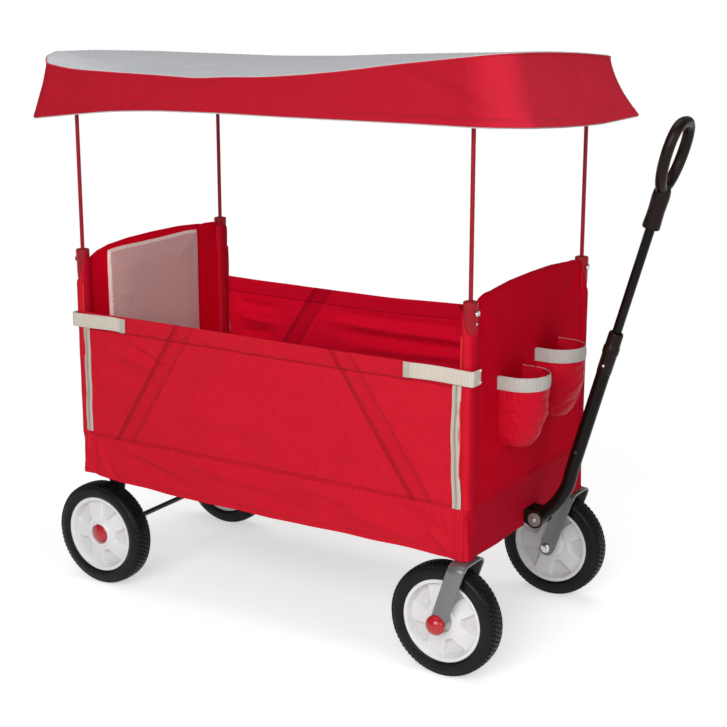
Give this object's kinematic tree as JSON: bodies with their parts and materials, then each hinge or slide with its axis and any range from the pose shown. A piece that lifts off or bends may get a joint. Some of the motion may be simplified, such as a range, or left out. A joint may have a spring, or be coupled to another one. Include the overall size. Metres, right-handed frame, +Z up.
{
  "type": "folding wagon",
  "caption": "Folding pull wagon: cloth tub on a folding steel base, lift-off canopy, drop-down side, cup pouches, swivel front casters and a telescopic handle.",
  "frame": {"origin": "on the ground, midway between the outermost points along and across the wagon", "axes": "+X to the front, where the handle and the casters are; +Y to the side without the drop-down flap; +Z up"},
  "size_m": [1.1763, 0.5252, 1.0475],
  "materials": {
    "cloth": "bright red woven polyester, matt",
    "pad": "taupe-rose padded cloth, matt",
    "webbing": "beige woven webbing",
    "red_plastic": "red moulded plastic, half gloss",
    "red_steel": "dark red painted steel tube",
    "steel": "grey zinc-plated steel strip",
    "dark_steel": "black powder-coated steel",
    "bright_steel": "bright plated steel",
    "tyre": "black foam rubber with block tread",
    "white_plastic": "white moulded plastic",
    "handle_steel": "glossy brown-black paint",
    "handle_plastic": "brown-black moulded plastic",
    "board": "black cloth over a stiff board",
    "canopy_cloth": "thin coated cloth, grey roof over a red skirt"
  },
  "bodies": {
    "root": {"rear_end_frame": "dark_steel", "rear_end_panel": "cloth", "rear_seat_pad": "pad", "rear_end_skirt": "cloth", "rear_socket_near": "red_plastic", "rear_socket_far": "red_plastic", "rear_axle": "dark_steel", "rear_hub_cap_near": "red_plastic", "rear_hub_cap_far": "red_plastic", "rear_hinge_rod": "bright_steel", "far_side": "cloth", "near_skirt": "cloth", "far_skirt": "cloth"},
    "base_rear": {"base_rear_frame": "dark_steel", "floor_board_rear": "board", "fold_pull_strap": "webbing", "centre_hinge_rod": "bright_steel"},
    "base_front": {"base_front_frame": "dark_steel", "floor_board_front": "board"},
    "front_frame": {"front_end_frame": "dark_steel", "front_end_panel": "cloth", "front_seat_pad": "pad", "front_end_skirt": "cloth", "front_socket_near": "red_plastic", "front_socket_far": "red_plastic", "cup_pouch_near": "cloth", "cup_pouch_far": "cloth", "handle_bracket": "handle_plastic", "handle_pivot_bolt": "bright_steel", "front_hinge_rod": "bright_steel"},
    "caster_near": {"caster_fork_near": "steel", "caster_axle_near": "bright_steel", "caster_cap_near": "red_plastic"},
    "caster_far": {"caster_fork_far": "steel", "caster_axle_far": "bright_steel", "caster_cap_far": "red_plastic"},
    "wheel_rear_near": {"rear_near_tyre": "tyre", "rear_near_wheel": "white_plastic"},
    "wheel_rear_far": {"rear_far_tyre": "tyre", "rear_far_wheel": "white_plastic"},
    "wheel_front_near": {"front_near_tyre": "tyre", "front_near_wheel": "white_plastic"},
    "wheel_front_far": {"front_far_tyre": "tyre", "front_far_wheel": "white_plastic"},
    "handle": {"handle_lower_tube": "handle_steel", "handle_collar": "handle_plastic"},
    "handle_inner": {"handle_upper_tube": "handle_steel", "handle_grip": "handle_plastic"},
    "handle_button": {"handle_lock_button": "bright_steel"},
    "button_rear_near": {"rear_button_near": "bright_steel"},
    "button_rear_far": {"rear_button_far": "bright_steel"},
    "button_front_near": {"front_button_near": "bright_steel"},
    "button_front_far": {"front_button_far": "bright_steel"},
    "canopy_rear": {"rear_canopy_bow": "red_steel", "canopy_cover": "canopy_cloth"},
    "canopy_front": {"front_canopy_bow": "red_steel"},
    "side_flap": {"drop_side": "cloth", "rear_corner_strap": "webbing", "front_corner_strap": "webbing"}
  },
  "joints": [
    {"name": "fold", "type": "hinge", "parent": "root", "child": "base_rear", "pos_m": [-0.45965, 0, 0.268], "axis": [0, -1, 0], "range_deg": [0, 75], "deforming": ["canopy_cover", "near_skirt", "far_skirt", "far_side", "drop_side", "rear_corner_strap", "front_corner_strap"]},
    {"name": "base_fold", "type": "hinge", "parent": "base_rear", "child": "base_front", "pos_m": [-0.09465, 0, 0.268], "axis": [0, -1, 0], "range_deg": [-150, 0]},
    {"name": "front_fold", "type": "hinge", "parent": "base_front", "child": "front_frame", "pos_m": [0.27035, 0, 0.268], "axis": [0, -1, 0], "range_deg": [0, 75]},
    {"name": "canopy_lift", "type": "slide", "parent": "root", "child": "canopy_rear", "axis": [0, 0, 1], "range_m": [0, 0.3]},
    {"name": "canopy_front_lift", "type": "slide", "parent": "front_frame", "child": "canopy_front", "axis": [0, 0, 1], "range_m": [0, 0.3]},
    {"name": "caster_swivel_near", "type": "hinge", "parent": "front_frame", "child": "caster_near", "pos_m": [0.31435, -0.2118, 0.22], "axis": [0, 0, 1], "continuous": true},
    {"name": "caster_swivel_far", "type": "hinge", "parent": "front_frame", "child": "caster_far", "pos_m": [0.31435, 0.2118, 0.22], "axis": [0, 0, 1], "continuous": true},
    {"name": "spin_rear_near", "type": "hinge", "parent": "root", "child": "wheel_rear_near", "pos_m": [-0.48655, -0.2009, 0.1016], "axis": [0, 1, 0], "continuous": true},
    {"name": "spin_rear_far", "type": "hinge", "parent": "root", "child": "wheel_rear_far", "pos_m": [-0.48655, 0.2009, 0.1016], "axis": [0, 1, 0], "continuous": true},
    {"name": "spin_front_near", "type": "hinge", "parent": "caster_near", "child": "wheel_front_near", "pos_m": [0.27795, -0.2118, 0.1016], "axis": [0, 1, 0], "continuous": true},
    {"name": "spin_front_far", "type": "hinge", "parent": "caster_far", "child": "wheel_front_far", "pos_m": [0.27795, 0.2118, 0.1016], "axis": [0, 1, 0], "continuous": true},
    {"name": "handle_pitch", "type": "hinge", "parent": "front_frame", "child": "handle", "pos_m": [0.34555, 0, 0.2308], "axis": [0, 1, 0], "range_deg": [-2, 80]},
    {"name": "handle_extend", "type": "slide", "parent": "handle", "child": "handle_inner", "axis": [0.2741, 0, 0.9617], "range_m": [-0.175, 0]},
    {"name": "handle_lock_press", "type": "slide", "parent": "handle", "child": "handle_button", "axis": [0, 1, 0], "range_m": [0, 0.001], "stiffness_N_per_m": 400, "springref_m": -0.002},
    {"name": "side_drop", "type": "hinge", "parent": "root", "child": "side_flap", "pos_m": [-0.09465, -0.2278, 0.3045], "axis": [1, 0, 0], "range_deg": [0, 150]},
    {"name": "button_press_rear_near", "type": "slide", "parent": "root", "child": "button_rear_near", "axis": [1, 0, 0], "range_m": [0, 0.002], "stiffness_N_per_m": 400, "springref_m": -0.002},
    {"name": "button_press_rear_far", "type": "slide", "parent": "root", "child": "button_rear_far", "axis": [1, 0, 0], "range_m": [0, 0.002], "stiffness_N_per_m": 400, "springref_m": -0.002},
    {"name": "button_press_front_near", "type": "slide", "parent": "front_frame", "child": "button_front_near", "axis": [-1, 0, 0], "range_m": [0, 0.002], "stiffness_N_per_m": 400, "springref_m": -0.002},
    {"name": "button_press_front_far", "type": "slide", "parent": "front_frame", "child": "button_front_far", "axis": [-1, 0, 0], "range_m": [0, 0.002], "stiffness_N_per_m": 400, "springref_m": -0.002}
  ],
  "couplings": [
    {"joint": "base_fold", "follows": "fold", "ratio": -2},
    {"joint": "front_fold", "follows": "fold", "ratio": 1},
    {"joint": "canopy_front_lift", "follows": "canopy_lift", "ratio": 1}
  ]
}
